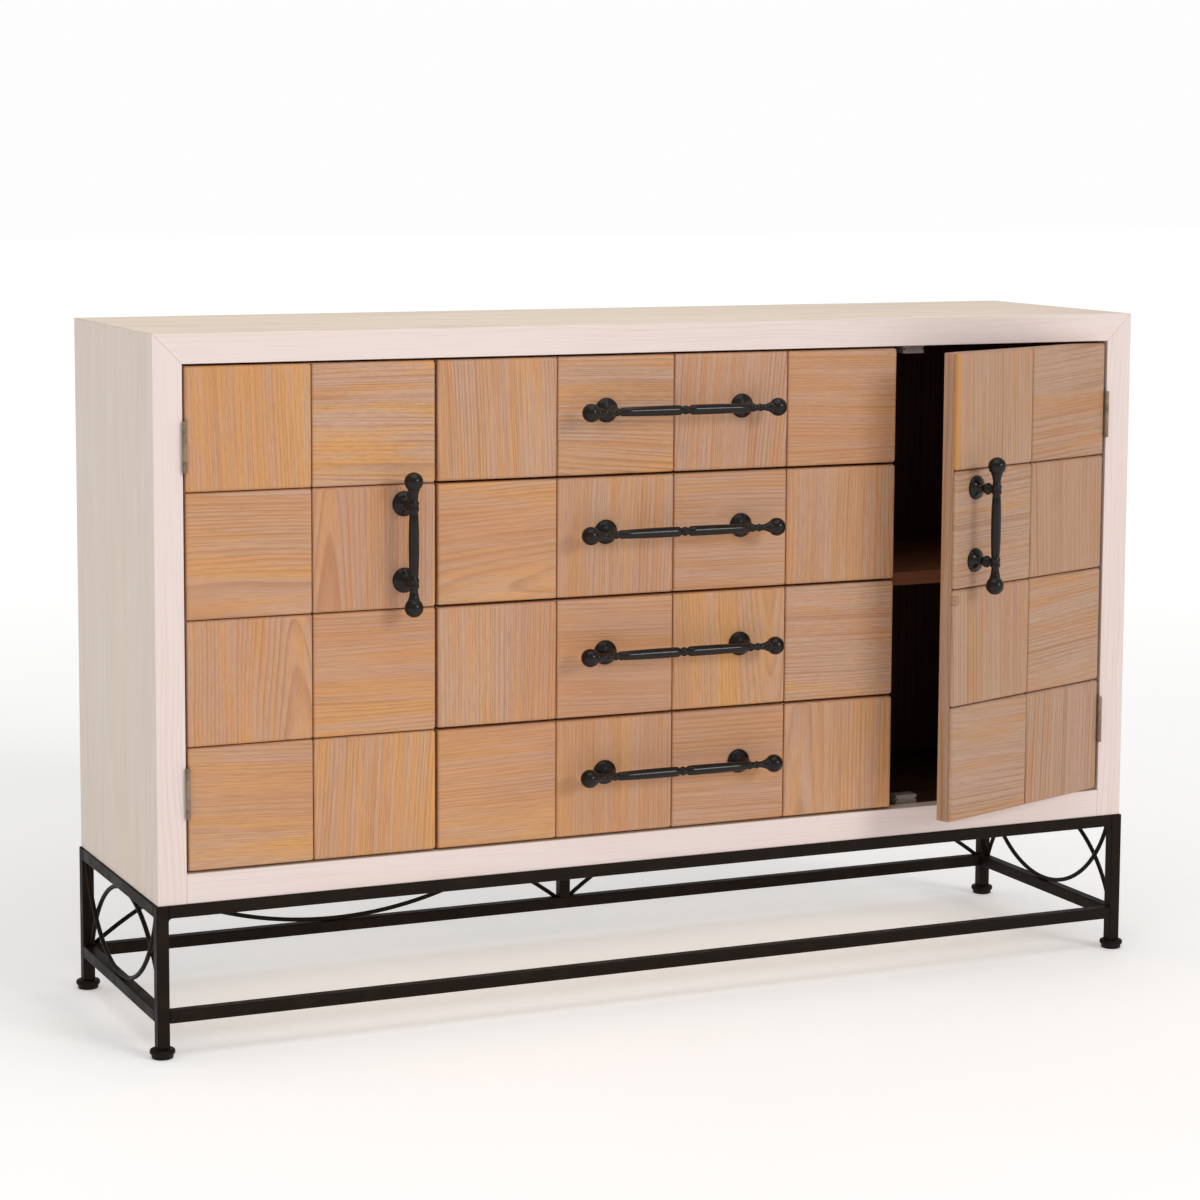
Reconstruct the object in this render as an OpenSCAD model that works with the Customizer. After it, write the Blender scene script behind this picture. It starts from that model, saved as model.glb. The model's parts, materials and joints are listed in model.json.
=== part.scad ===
// Sideboard: a mitred wooden case with two tiled doors and four tiled drawers,
// standing on a black steel tube frame with bent rods between its legs.
// Millimetres. X runs along the width, -Y is the front, Z is up from the floor.
// The origin is on the floor, under the middle of the case.

/* [Overall] */
// Width of the wooden case
body_w = 1400; // [1150:10:1700]
// Depth of the wooden case
body_d = 365; // [305:5:440]
// Height from the floor to the top face
body_h = 900; // [740:5:1080]
// Height of the steel frame, up to the underside of the case
base_h = 193; // [150:1:240]

/* [Case] */
// Thickness of the top, the sides and the bottom
frame_t = 37.5; // [30:0.5:46]
// Thickness of the partitions and the shelves
board_t = 18; // [15:1:22]
// Thickness of the back panel
back_t = 6; // [4:0.5:9]
// How far the back panel is set in from the rear edges
back_inset = 2; // [0:0.5:6]
// How far the shelves stay behind the front face
shelf_setback = 60; // [40:5:90]
// Distance from a shelf's front and rear edge to its pegs
peg_inset = 35; // [20:5:60]
// Diameter of the shelf pegs
peg_d = 5; // [4:0.5:7]
// Depth of a shelf peg in the wood, and how far it stands out
peg_reach = 10; // [8:1:14]

/* [Fronts] */
// Columns of tiles on one door
door_cols = 2; // [1:1:3]
// Columns of tiles on one drawer
drawer_cols = 4; // [2:1:6]
// Gap between neighbouring fronts, and round them
gap = 3; // [2.4:0.1:4]
// Thickness of the board behind the tiles
front_board_t = 18; // [14:1:22]
// Thickness of the tiles
tile_t = 6; // [5:0.5:9]
// Width of the groove between two tiles, at its bottom
tile_gap = 1.6; // [1:0.2:3]
// Radius of the tiles' rounded front edges
tile_r = 3; // [1.5:0.5:4.5]
// Clear space between the back of the fronts and the partitions
front_clear = 2; // [1.5:0.5:4]
// Angle at which the right door stands ajar
right_door_ajar = 21.4; // [0:0.1:60]

/* [Hinges] */
// Length of a butt hinge
hinge_len = 63.5; // [50:0.5:76]
// Diameter of a hinge knuckle
knuckle_d = 6; // [5:0.2:6.4]
// Diameter of a hinge pin
pin_d = 2.8; // [2:0.1:3.2]
// Thickness of a hinge leaf
leaf_t = 1; // [0.8:0.05:1.1]
// How deep a hinge leaf reaches along the door's edge
leaf_reach = 22; // [18:1:26]
// Distance from the end of the opening to the middle of a hinge
hinge_inset = 101.5; // [60:0.5:140]

/* [Handles] */
// Distance between the posts of a drawer handle
drawer_handle_cc = 195; // [128:1:224]
// Distance between the posts of a door handle
door_handle_cc = 97; // [80:1:128]
// Distance from the front face to the middle of the grip
handle_standoff = 34; // [32:1:44]
// Diameter of the round plate under a post
rosette_d = 32; // [26:1:36]
// Distance from a door's free edge to its handle
door_handle_inset = 42.5; // [30:0.5:60]
// How far the handles sit above the middle of their row of tiles
handle_rise = 6; // [-20:1:20]

/* [Drawers] */
// Space on each side of a drawer box for its runner
runner_space = 12.7; // [10.5:0.1:16]
// Thickness of the drawer sides and back
drawer_side_t = 12; // [10:1:15]
// Thickness of the drawer bottom
drawer_bottom_t = 6; // [4:1:9]
// How far a drawer box starts above the lower edge of its front
drawer_lift = 20; // [14:1:28]
// How far a drawer box ends below the upper edge of its row
drawer_drop = 28; // [22:1:40]
// Space between a closed drawer box and the back panel
drawer_back_clear = 32; // [15:1:80]

/* [Steel frame] */
// Side of the square tube
tube = 16; // [14:0.5:22]
// Wall of the square tube
tube_wall = 1.5; // [1.2:0.1:2]
// How far the frame stands out past the case
base_proud = 2.5; // [0:0.5:6]
// Height of the lower stretchers' underside
stretcher_z = 44; // [30:1:60]
// Diameter of a foot
foot_d = 32; // [26:1:40]
// Height of a foot
foot_h = 12; // [8:1:16]
// Diameter of the bent rods
rod_d = 6; // [5:0.5:7]
// Diameter of the frame's round screw heads
bolt_d = 10; // [8:0.5:12]

/* [Hidden] */
$fn = 48;

// Colours
WHITEWASH = "#E9D8D0";
PINE = "#C69271";
INSIDE = "#3A2418";
SHELF_WOOD = "#583622";
BIRCH = "#B08C66";
IRON = "#29251F";
HANDLE_BLACK = "#2B2623";
HINGE_GREY = "#7D6C58";
ZINC = "#A9ABAD";
CATCH_GREY = "#B9B4AC";

// Planes of the case
front_y = -body_d / 2;
back_y = body_d / 2;
side_x = body_w / 2;
open_x = side_x - frame_t;
open_z0 = base_h + frame_t;
open_z1 = body_h - frame_t;
inner_back_y = back_y - back_inset - back_t;

// Tile grid: equal columns across the opening, four rows, one row to a drawer
rows = 4;
cols = 2 * door_cols + drawer_cols;
col_w = 2 * open_x / cols;
row_h = (open_z1 - open_z0) / rows;
bay_x = drawer_cols * col_w / 2;
board_y0 = front_y + tile_t;
board_y1 = board_y0 + front_board_t;
part_y0 = board_y1 + front_clear;
tile_edge = 0.6;
round_steps = 4;

// Shelves: their top face is at half height
shelf_z1 = (open_z0 + open_z1) / 2;
shelf_play = 0.5;
peg_clear = 0.05;
peg_ys = [front_y + shelf_setback + peg_inset, inner_back_y - peg_inset];

// Hinges: the knuckle runs just in front of the gap beside the door
knuckle_r = knuckle_d / 2;
hinge_x = open_x - gap / 2;
hinge_y = front_y - knuckle_r - 0.4;
hinge_zs = [open_z0 + hinge_inset, open_z1 - hinge_inset];
knuckle_gap = 0.2;
pin_clear = 0.05;
n_knuckles = 5;
knuckle_len = (hinge_len - (n_knuckles - 1) * knuckle_gap) / n_knuckles;
screw_head_r = 3;
screw_r = 1.5;
screw_len = 14;
screw_clear = 0.05;

// Catches and strike plates
catch_w = 32;
catch_d = 18;
catch_h = 12;
catch_inset = 38;
strike_t = 1;
strike_w = 30;
strike_h = 14;
catch_gap = 0.5;

// Handles
ball_d = 24;
drawer_ball_over = 36;
door_ball_over = 31;

// Drawers and their runners
box_x = bay_x - board_t / 2 - runner_space;
box_h = row_h - drawer_lift - drawer_drop;
drawer_len = inner_back_y - board_y1 - drawer_back_clear;
channel_h = 44;
channel_wall = 1.5;
channel_d = runner_space - 3.5;
rail_h = channel_h - 2 * channel_wall - 2;
rail_d = runner_space - channel_wall - 1.2;
channel_len = drawer_len;

// Steel frame
leg_x = side_x + base_proud - tube / 2;
leg_y = back_y + base_proud - tube / 2;
rail_z = base_h - tube;
low_z1 = stretcher_z + tube;
post_x = tube / 2;
rod_shift = rod_d / 2 + 0.05;
rod_rise = rail_z - low_z1 - rod_d / 2;
weld_r = 5;

// ---------- shared shapes ----------

// Box between two corners
module block(a, b) {
    translate(a) cube(b - a);
}

// Lowest and highest edge of the front in one row, row 0 at the top
function front_z0(r) = open_z0 + (rows - 1 - r) * row_h + (r == rows - 1 ? gap : gap / 2);
function front_z1(r) = open_z0 + (rows - r) * row_h - (r == 0 ? gap : gap / 2);
function row_mid(r) = open_z0 + (rows - r - 0.5) * row_h;

// Outline of a tile across its width: flat back, two rounded front corners
function tile_line(w) = concat(
    [[0, tile_t]],
    [for (i = [0:round_steps]) tile_corner(tile_r, 180 + 90 * i / round_steps)],
    [for (i = [0:round_steps]) tile_corner(w - tile_r, 270 + 90 * i / round_steps)],
    [[w, tile_t]]);
function tile_corner(c, a) = [c + tile_r * cos(a), tile_r + tile_r * sin(a)];
function swapped(line) = [for (p = line) [p[1], p[0]]];

// One tile with all four front edges rounded
module tile(x0, x1, z0, z1) {
    intersection() {
        translate([x0, front_y, z0]) linear_extrude(z1 - z0) polygon(tile_line(x1 - x0));
        translate([x0, front_y, z0]) rotate([90, 0, 90]) linear_extrude(x1 - x0)
            polygon(swapped(tile_line(z1 - z0)));
    }
}

// A field of tiles; the outer tiles follow the edge of their board
module tile_field(x0, n, r0, r1) {
    for (c = [0:n - 1], r = [r0:r1]) {
        tile(x0 + c * col_w + (c == 0 ? tile_inset(x0) : tile_gap / 2),
             x0 + (c + 1) * col_w - (c == n - 1 ? tile_inset(x0 + n * col_w) : tile_gap / 2),
             r == r1 ? front_z0(r) + tile_edge : front_z0(r) - gap / 2 + tile_gap / 2,
             r == r0 ? front_z1(r) - tile_edge : front_z1(r) + gap / 2 - tile_gap / 2);
    }
}
function tile_inset(x) = tile_edge + (abs(x) > bay_x + 1 ? gap : gap / 2);

// Revolved outline from a list of [distance along the axis, radius]
module turned(line) {
    rotate_extrude() polygon(concat([[0, line[0][0]]],
        [for (p = line) [p[1], p[0]]], [[0, line[len(line) - 1][0]]]));
}

function mirrored(line) = [for (i = [len(line) - 1:-1:0]) [-line[i][0], line[i][1]]];

// Half of a drawer grip, from its middle bead to the ball; h is the post's distance
function drawer_grip(h) = [
    [0, 6], [1.8, 5.8], [3.2, 5], [4.4, 4.5], [5.4, 4.6], [6.2, 5.3], [7.4, 6], [9, 6.5],
    [14, 6.7], [h * 0.5, 6.6], [h * 0.78, 6.1], [h - 6.5, 5.7], [h - 5.2, 5.3],
    [h - 4.4, 4.3], [h - 3.2, 4.3], [h - 2, 5.1], [h, 5.6], [h + 2, 5.1], [h + 3.4, 4.2],
    [h + 7.4, 4], [h + 8.8, 4.7], [h + 10.4, 5.3], [h + 12, 4.7], [h + 13.2, 4.1],
    [h + 16.5, 4.1], [h + 20, 4.9], [h + 24, 6.4], [h + 28, 8.4]];

// Half of a door grip: a barrel, a ring at the post and a flare up to the ball
function door_grip(h) = [
    [0, 6.7], [h * 0.3, 6.6], [h * 0.55, 6.3], [h * 0.78, 5.7], [h - 7, 5.3],
    [h - 5.8, 6.2], [h - 4, 6.9], [h - 2, 6.4], [h, 6.2], [h + 2, 6.4], [h + 4, 6.9],
    [h + 5.8, 6.2], [h + 7, 5.1], [h + 12, 5.5], [h + 17, 6.4], [h + 23, 8.2]];

// Post of a handle, standing on its round plate
post_line = [
    [0, rosette_d / 2], [1.4, rosette_d / 2], [2.8, rosette_d / 2 - 0.6],
    [4.8, rosette_d / 2 - 2.8], [6.6, rosette_d / 2 - 6], [8.4, rosette_d / 2 - 9],
    [10, 5.6], [11.6, 4.8], [13.4, 4.6], [15, 5.2], [16.4, 6.8], [18.2, 7.8], [20.2, 8],
    [22.2, 7.4], [23.8, 6], [25.6, 5], [28, 5], [handle_standoff, 5]];

// A handle with its grip along X, standing out towards -Y from the plane y = 0
module pull_handle(half_line, cc, over) {
    for (s = [-1, 1]) translate([s * cc / 2, 0, 0]) rotate([90, 0, 0]) turned(post_line);
    translate([0, -handle_standoff, 0]) rotate([0, 90, 0])
        turned(concat(mirrored(half_line), half_line));
    for (s = [-1, 1]) translate([s * (cc / 2 + over), -handle_standoff, 0]) sphere(d = ball_d);
}

// Hinge knuckles: the even ones belong to the case, the odd ones to the door
module knuckles(start) {
    for (i = [start:2:n_knuckles - 1])
        translate([0, 0, -hinge_len / 2 + i * (knuckle_len + knuckle_gap)]) children();
}

// One hinge leaf; its plate lies s * (half gap) beside the pin, s = 1 is the case's side
module hinge_leaf(start, s) {
    plate_x0 = s > 0 ? gap / 2 - leaf_t : -gap / 2;
    difference() {
        union() {
            knuckles(start) cylinder(r = knuckle_r, h = knuckle_len);
            knuckles(start) translate([plate_x0, 0, 0]) cube([leaf_t, knuckle_r + 1, knuckle_len]);
            translate([plate_x0, knuckle_r + 0.3, -hinge_len / 2])
                cube([leaf_t, leaf_reach, hinge_len]);
        }
        translate([0, 0, -hinge_len]) cylinder(d = pin_d + 2 * pin_clear, h = 2 * hinge_len);
        hinge_screw_places() screw_shape(s, screw_clear);
    }
}

// Middle points of the two screws of a leaf, in the hinge's own frame
module hinge_screw_places() {
    for (z = [-1, 1]) translate([0, knuckle_r + leaf_reach * 0.6, z * hinge_len * 0.3]) children();
}

// Countersunk screw driven sideways through a leaf; c is the clearance round it
module screw_shape(s, c) {
    face = gap / 2 - leaf_t;
    rotate([0, s * 90, 0]) {
        translate([0, 0, face]) cylinder(r1 = screw_head_r + c, r2 = screw_r + c, h = leaf_t);
        translate([0, 0, face + leaf_t]) cylinder(r = screw_r + c, h = screw_len + c);
    }
}

// Children at both hinges of one door; side is -1 for the left door, 1 for the right
module at_hinges(side) {
    for (z = hinge_zs) translate([side * hinge_x, hinge_y, z])
        mirror([side < 0 ? 1 : 0, 0, 0]) children();
}

// Turns a right door piece to the angle at which the door stands ajar
module ajar() {
    translate([hinge_x, hinge_y, 0]) rotate([0, 0, right_door_ajar])
        translate([-hinge_x, -hinge_y, 0]) children();
}

// ---------- wooden case ----------

// The top is mitred into the sides
module top_panel() {
    color(WHITEWASH) translate([0, back_y, 0]) rotate([90, 0, 0]) linear_extrude(body_d)
        polygon([[-side_x, body_h], [-open_x, open_z1], [open_x, open_z1], [side_x, body_h]]);
}

// A side runs the whole height; its upper end is mitred
module side_panel(side) {
    color(WHITEWASH) difference() {
        translate([0, back_y, 0]) rotate([90, 0, 0]) linear_extrude(body_d)
            polygon([[side * side_x, base_h], [side * open_x, base_h],
                     [side * open_x, open_z1], [side * side_x, body_h]]);
        at_hinges(side) hinge_screw_places() screw_shape(1, screw_clear);
        peg_places() translate([side * open_x, 0, 0]) peg_hole();
    }
}
module left_side_panel() { side_panel(-1); }
module right_side_panel() { side_panel(1); }

module bottom_panel() {
    color(WHITEWASH) block([-open_x, front_y, base_h], [open_x, back_y, open_z0]);
}

module back_panel() {
    color(INSIDE) block([-open_x, inner_back_y, open_z0],
                        [open_x, inner_back_y + back_t, open_z1]);
}

// A partition stands behind the joint between a door and the drawers
module partition(side) {
    color(INSIDE) difference() {
        block([side * bay_x - board_t / 2, part_y0, open_z0],
              [side * bay_x + board_t / 2, inner_back_y, open_z1]);
        peg_places() translate([side * (bay_x + board_t / 2), 0, 0]) peg_hole();
    }
}
module left_partition() { partition(-1); }
module right_partition() { partition(1); }

module shelf(side) {
    x0 = bay_x + board_t / 2 + shelf_play;
    x1 = open_x - shelf_play;
    color(SHELF_WOOD) translate([side < 0 ? -x1 : x0, front_y + shelf_setback, shelf_z1 - board_t])
        cube([x1 - x0, inner_back_y - front_y - shelf_setback - shelf_play, board_t]);
}
module left_shelf() { shelf(-1); }
module right_shelf() { shelf(1); }

// Children at the height and depth of each shelf peg
module peg_places() {
    for (y = peg_ys) translate([0, y, shelf_z1 - board_t - peg_d / 2]) children();
}
module peg_hole() {
    rotate([0, 90, 0]) cylinder(d = peg_d + 2 * peg_clear, h = 2 * peg_reach, center = true);
}

// Round pegs under both ends of each shelf
module shelf_pegs() {
    color(ZINC) for (side = [-1, 1], x = [bay_x + board_t / 2, open_x])
        peg_places() translate([side * x, 0, 0])
            rotate([0, 90, 0]) cylinder(d = peg_d, h = 1.9 * peg_reach, center = true);
}

// Steel channels screwed to the partitions, one pair to a drawer
module runner_channels() {
    x1 = bay_x - board_t / 2;
    color(ZINC) for (r = [0:rows - 1], side = [0, 1])
        translate([0, part_y0, runner_z(r)]) mirror([side, 0, 0]) difference() {
            translate([x1 - channel_d, 0, 0]) cube([channel_d, channel_len, channel_h]);
            translate([x1 - channel_d - 1, -1, channel_wall])
                cube([channel_d + 1 - channel_wall, channel_len - 9, channel_h - 2 * channel_wall]);
        }
}
function runner_z(r) = front_z0(r) + drawer_lift + (box_h - channel_h) / 2;

// Magnetic catches under the top and on the bottom, at each door's free edge
module magnetic_catches() {
    color(CATCH_GREY) for (side = [0, 1], z = [open_z0, open_z1 - catch_h]) mirror([side, 0, 0])
        translate([bay_x + catch_inset - catch_w / 2, board_y1 + strike_t + catch_gap, z])
            difference() {
                cube([catch_w, catch_d, catch_h]);
                translate([-1, -1, catch_h * 0.4]) cube([4, 5, catch_h * 0.2]);
                translate([catch_w - 3, -1, catch_h * 0.4]) cube([4, 5, catch_h * 0.2]);
            }
}

module frame_hinge_leaves() {
    color(HINGE_GREY) for (side = [-1, 1]) at_hinges(side) hinge_leaf(0, 1);
}

module hinge_pins() {
    color(HINGE_GREY) for (side = [-1, 1])
        at_hinges(side) cylinder(d = pin_d, h = hinge_len, center = true);
}

module frame_hinge_screws() {
    color(HINGE_GREY) for (side = [-1, 1]) at_hinges(side) hinge_screw_places() screw_shape(1, 0);
}

// ---------- steel frame ----------

// Square tube along Z, from z0 up, with open ends unless cap is given
module tube_z(x, y, z0, z1, cap) {
    difference() {
        translate([x - tube / 2, y - tube / 2, z0]) cube([tube, tube, z1 - z0]);
        translate([x - tube / 2 + tube_wall, y - tube / 2 + tube_wall, z0 - 1])
            cube([tube - 2 * tube_wall, tube - 2 * tube_wall, z1 - z0 + 1 - cap]);
    }
}

// Square tube along X or Y between two ends, its underside at z
module tube_x(x0, x1, y, z) {
    difference() {
        translate([x0, y - tube / 2, z]) cube([x1 - x0, tube, tube]);
        translate([x0 - 1, y - tube / 2 + tube_wall, z + tube_wall])
            cube([x1 - x0 + 2, tube - 2 * tube_wall, tube - 2 * tube_wall]);
    }
}
module tube_y(y0, y1, x, z) {
    rotate([0, 0, 90]) tube_x(y0, y1, -x, z);
}

module legs() {
    color(IRON) for (sx = [-1, 1], sy = [-1, 1])
        tube_z(sx * leg_x, sy * leg_y, foot_h, base_h, tube_wall);
}

// Round feet with a raised rim
module feet() {
    r = foot_d / 2;
    color(IRON) for (sx = [-1, 1], sy = [-1, 1]) translate([sx * leg_x, sy * leg_y, 0])
        turned([[0, r - 4], [0.8, r - 2.6], [foot_h * 0.42, r - 2], [foot_h * 0.52, r - 0.5],
                [foot_h * 0.62, r], [foot_h * 0.82, r], [foot_h * 0.94, r - 0.7], [foot_h, r - 2]]);
}

// Four tubes between the legs' upper ends
module top_rails() {
    color(IRON) {
        for (s = [-1, 1]) tube_x(-leg_x + tube / 2, leg_x - tube / 2, s * leg_y, rail_z);
        for (s = [-1, 1]) tube_y(-leg_y + tube / 2, leg_y - tube / 2, s * leg_x, rail_z);
    }
}

// Four tubes between the legs, near the floor
module lower_stretchers() {
    color(IRON) {
        for (s = [-1, 1]) tube_x(-leg_x + tube / 2, leg_x - tube / 2, s * leg_y, stretcher_z);
        for (s = [-1, 1]) tube_y(-leg_y + tube / 2, leg_y - tube / 2, s * leg_x, stretcher_z);
    }
}

// Upright in the middle of the rear side
module centre_post() {
    color(IRON) tube_z(0, leg_y, low_z1, rail_z, 0);
}

// Bent rod in the XZ plane between two uprights, hanging down from their upper corners
module hanging_arc(half) {
    r = arc_radius(half - rod_d / 2);
    intersection() {
        translate([0, 0, low_z1 + rod_d / 2 + r]) rotate([90, 0, 0]) rotate([0, 0, 180])
            rotate_extrude(angle = 180) translate([r, 0]) circle(d = rod_d, $fn = 32);
        translate([-half, -rod_d, low_z1]) cube([2 * half, 2 * rod_d, rail_z - low_z1]);
    }
}
function arc_radius(h) = (h * h + rod_rise * rod_rise) / (2 * rod_rise);

// The same rod turned over, rising from the lower corners to the rail's middle
module standing_arc(half) {
    translate([0, 0, low_z1 + rail_z]) mirror([0, 0, 1]) hanging_arc(half);
}

module side_arcs(side) {
    half = leg_y - tube / 2;
    color(IRON) translate([side * leg_x, 0, 0]) rotate([0, 0, 90]) {
        translate([0, rod_shift, 0]) hanging_arc(half);
        translate([0, -rod_shift, 0]) standing_arc(half);
    }
}
module left_side_arcs() { side_arcs(-1); }
module right_side_arcs() { side_arcs(1); }

// One rising rod in each half of the rear side, and a hanging one in the left half
module back_arcs() {
    half = (leg_x - tube / 2 - post_x) / 2;
    color(IRON) translate([0, leg_y, 0]) {
        for (s = [-1, 1]) translate([s * (post_x + half), rod_shift, 0]) standing_arc(half);
        translate([-post_x - half, -rod_shift, 0]) hanging_arc(half);
    }
}

// Screw heads on the rear legs and on the right front leg, and a small weld bead in the
// corner between each front leg and the front rail
module bolts_and_welds() {
    head = [[0, bolt_d / 2], [bolt_d * 0.12, bolt_d / 2], [bolt_d * 0.26, bolt_d * 0.41],
            [bolt_d * 0.34, bolt_d * 0.28], [bolt_d * 0.38, bolt_d * 0.1]];
    color(IRON) {
        for (s = [-1, 1], z = [rail_z + tube / 2, stretcher_z + tube / 2])
            translate([s * leg_x, leg_y + tube / 2, z]) rotate([-90, 0, 0]) turned(head);
        translate([leg_x + tube / 2, -leg_y, stretcher_z + tube / 2])
            rotate([0, 90, 0]) scale(0.7) turned(head);
        for (side = [0, 1]) mirror([side, 0, 0]) difference() {
            translate([leg_x - tube / 2 - weld_r, -leg_y - tube / 2 + 2, rail_z - weld_r])
                cube([weld_r, tube - 4, weld_r]);
            translate([leg_x - tube / 2 - weld_r, -leg_y, rail_z - weld_r])
                rotate([90, 0, 0]) cylinder(r = weld_r, h = 2 * tube, center = true);
        }
    }
}

// ---------- doors, modelled closed ----------

module door_board(side) {
    x0 = bay_x + gap / 2;
    x1 = open_x - gap;
    color(PINE) difference() {
        translate([side < 0 ? -x1 : x0, board_y0, open_z0 + gap])
            cube([x1 - x0, front_board_t, open_z1 - open_z0 - 2 * gap]);
        at_hinges(side) hinge_screw_places() screw_shape(-1, screw_clear);
    }
}

module door_tiles(side) {
    color(PINE) tile_field(side < 0 ? -open_x : bay_x, door_cols, 0, rows - 1);
}

module door_handle(side) {
    color(HANDLE_BLACK)
        translate([side * (bay_x + gap / 2 + door_handle_inset), front_y, row_mid(1) + handle_rise])
            rotate([0, 90, 0])
                pull_handle(door_grip(door_handle_cc / 2), door_handle_cc, door_ball_over);
}

module door_hinge_leaves(side) {
    color(HINGE_GREY) at_hinges(side) hinge_leaf(1, -1);
}

module door_hinge_screws(side) {
    color(HINGE_GREY) at_hinges(side) hinge_screw_places() screw_shape(-1, 0);
}

// Thin steel plates on the door's back that meet the magnetic catches
module door_strikes(side) {
    x = bay_x + catch_inset - strike_w / 2;
    color(ZINC) for (z = [open_z0 + gap, open_z1 - gap - strike_h])
        translate([side < 0 ? -x - strike_w : x, board_y1, z]) cube([strike_w, strike_t, strike_h]);
}

module left_door_board() { door_board(-1); }
module left_door_tiles() { door_tiles(-1); }
module left_door_handle() { door_handle(-1); }
module left_door_hinge_leaves() { door_hinge_leaves(-1); }
module left_door_hinge_screws() { door_hinge_screws(-1); }
module left_door_strikes() { door_strikes(-1); }
module right_door_board() { ajar() door_board(1); }
module right_door_tiles() { ajar() door_tiles(1); }
module right_door_handle() { ajar() door_handle(1); }
module right_door_hinge_leaves() { ajar() door_hinge_leaves(1); }
module right_door_hinge_screws() { ajar() door_hinge_screws(1); }
module right_door_strikes() { ajar() door_strikes(1); }

// ---------- drawers, counted from the top ----------

module drawer_front(r) {
    color(PINE) block([-bay_x + gap / 2, board_y0, front_z0(r)],
                      [bay_x - gap / 2, board_y1, front_z1(r)]);
}

module drawer_tiles(r) {
    color(PINE) tile_field(-bay_x, drawer_cols, r, r);
}

// Two sides and a back
module drawer_box(r) {
    z = front_z0(r) + drawer_lift;
    color(BIRCH) {
        for (s = [0, 1]) mirror([s, 0, 0])
            block([box_x - drawer_side_t, board_y1, z], [box_x, board_y1 + drawer_len, z + box_h]);
        block([-box_x + drawer_side_t, board_y1 + drawer_len - drawer_side_t, z],
              [box_x - drawer_side_t, board_y1 + drawer_len, z + box_h - 8]);
    }
}

module drawer_bottom(r) {
    z = front_z0(r) + drawer_lift;
    color(BIRCH) block([-box_x + drawer_side_t, board_y1, z + 4],
                       [box_x - drawer_side_t, board_y1 + drawer_len - drawer_side_t,
                        z + 4 + drawer_bottom_t]);
}

// Steel rails on the drawer's sides that run in the channels
module drawer_rails(r) {
    color(ZINC) for (s = [0, 1]) mirror([s, 0, 0])
        translate([box_x, part_y0, runner_z(r) + channel_wall + 1])
            cube([rail_d, channel_len - 12, rail_h]);
}

module drawer_handle(r) {
    color(HANDLE_BLACK) translate([0, front_y, row_mid(r) + handle_rise])
        pull_handle(drawer_grip(drawer_handle_cc / 2), drawer_handle_cc, drawer_ball_over);
}

module drawer_1_front() { drawer_front(0); }
module drawer_1_tiles() { drawer_tiles(0); }
module drawer_1_box() { drawer_box(0); }
module drawer_1_bottom() { drawer_bottom(0); }
module drawer_1_rails() { drawer_rails(0); }
module drawer_1_handle() { drawer_handle(0); }
module drawer_2_front() { drawer_front(1); }
module drawer_2_tiles() { drawer_tiles(1); }
module drawer_2_box() { drawer_box(1); }
module drawer_2_bottom() { drawer_bottom(1); }
module drawer_2_rails() { drawer_rails(1); }
module drawer_2_handle() { drawer_handle(1); }
module drawer_3_front() { drawer_front(2); }
module drawer_3_tiles() { drawer_tiles(2); }
module drawer_3_box() { drawer_box(2); }
module drawer_3_bottom() { drawer_bottom(2); }
module drawer_3_rails() { drawer_rails(2); }
module drawer_3_handle() { drawer_handle(2); }
module drawer_4_front() { drawer_front(3); }
module drawer_4_tiles() { drawer_tiles(3); }
module drawer_4_box() { drawer_box(3); }
module drawer_4_bottom() { drawer_bottom(3); }
module drawer_4_rails() { drawer_rails(3); }
module drawer_4_handle() { drawer_handle(3); }

top_panel();
left_side_panel();
right_side_panel();
bottom_panel();
back_panel();
left_partition();
right_partition();
left_shelf();
right_shelf();
shelf_pegs();
runner_channels();
magnetic_catches();
frame_hinge_leaves();
hinge_pins();
frame_hinge_screws();
legs();
feet();
top_rails();
lower_stretchers();
centre_post();
left_side_arcs();
right_side_arcs();
back_arcs();
bolts_and_welds();
left_door_board();
left_door_tiles();
left_door_handle();
left_door_hinge_leaves();
left_door_hinge_screws();
left_door_strikes();
right_door_board();
right_door_tiles();
right_door_handle();
right_door_hinge_leaves();
right_door_hinge_screws();
right_door_strikes();
drawer_1_front();
drawer_1_tiles();
drawer_1_box();
drawer_1_bottom();
drawer_1_rails();
drawer_1_handle();
drawer_2_front();
drawer_2_tiles();
drawer_2_box();
drawer_2_bottom();
drawer_2_rails();
drawer_2_handle();
drawer_3_front();
drawer_3_tiles();
drawer_3_box();
drawer_3_bottom();
drawer_3_rails();
drawer_3_handle();
drawer_4_front();
drawer_4_tiles();
drawer_4_box();
drawer_4_bottom();
drawer_4_rails();
drawer_4_handle();
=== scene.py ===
import json
import math
import random

import bmesh
import bpy
from bpy.props import FloatProperty, FloatVectorProperty, IntProperty, PointerProperty
from bpy.types import Operator, Panel, PropertyGroup
from mathutils import Matrix, Vector


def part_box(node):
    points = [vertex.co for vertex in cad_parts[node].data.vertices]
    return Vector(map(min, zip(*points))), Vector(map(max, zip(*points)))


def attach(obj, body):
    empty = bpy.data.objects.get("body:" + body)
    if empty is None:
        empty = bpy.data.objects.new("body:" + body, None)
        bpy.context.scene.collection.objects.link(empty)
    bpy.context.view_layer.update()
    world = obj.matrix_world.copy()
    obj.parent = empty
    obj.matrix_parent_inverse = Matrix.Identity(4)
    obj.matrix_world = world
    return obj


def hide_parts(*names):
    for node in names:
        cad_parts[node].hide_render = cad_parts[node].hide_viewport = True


bl_info = {
    "name": "Tiled sideboard",
    "version": (1, 0, 0),
    "blender": (4, 5, 0),
    "location": "View3D > Sidebar > Sideboard",
    "description": "Whitewashed sideboard with tiled pine fronts on a black tube frame",
    "category": "Object",
}

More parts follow.
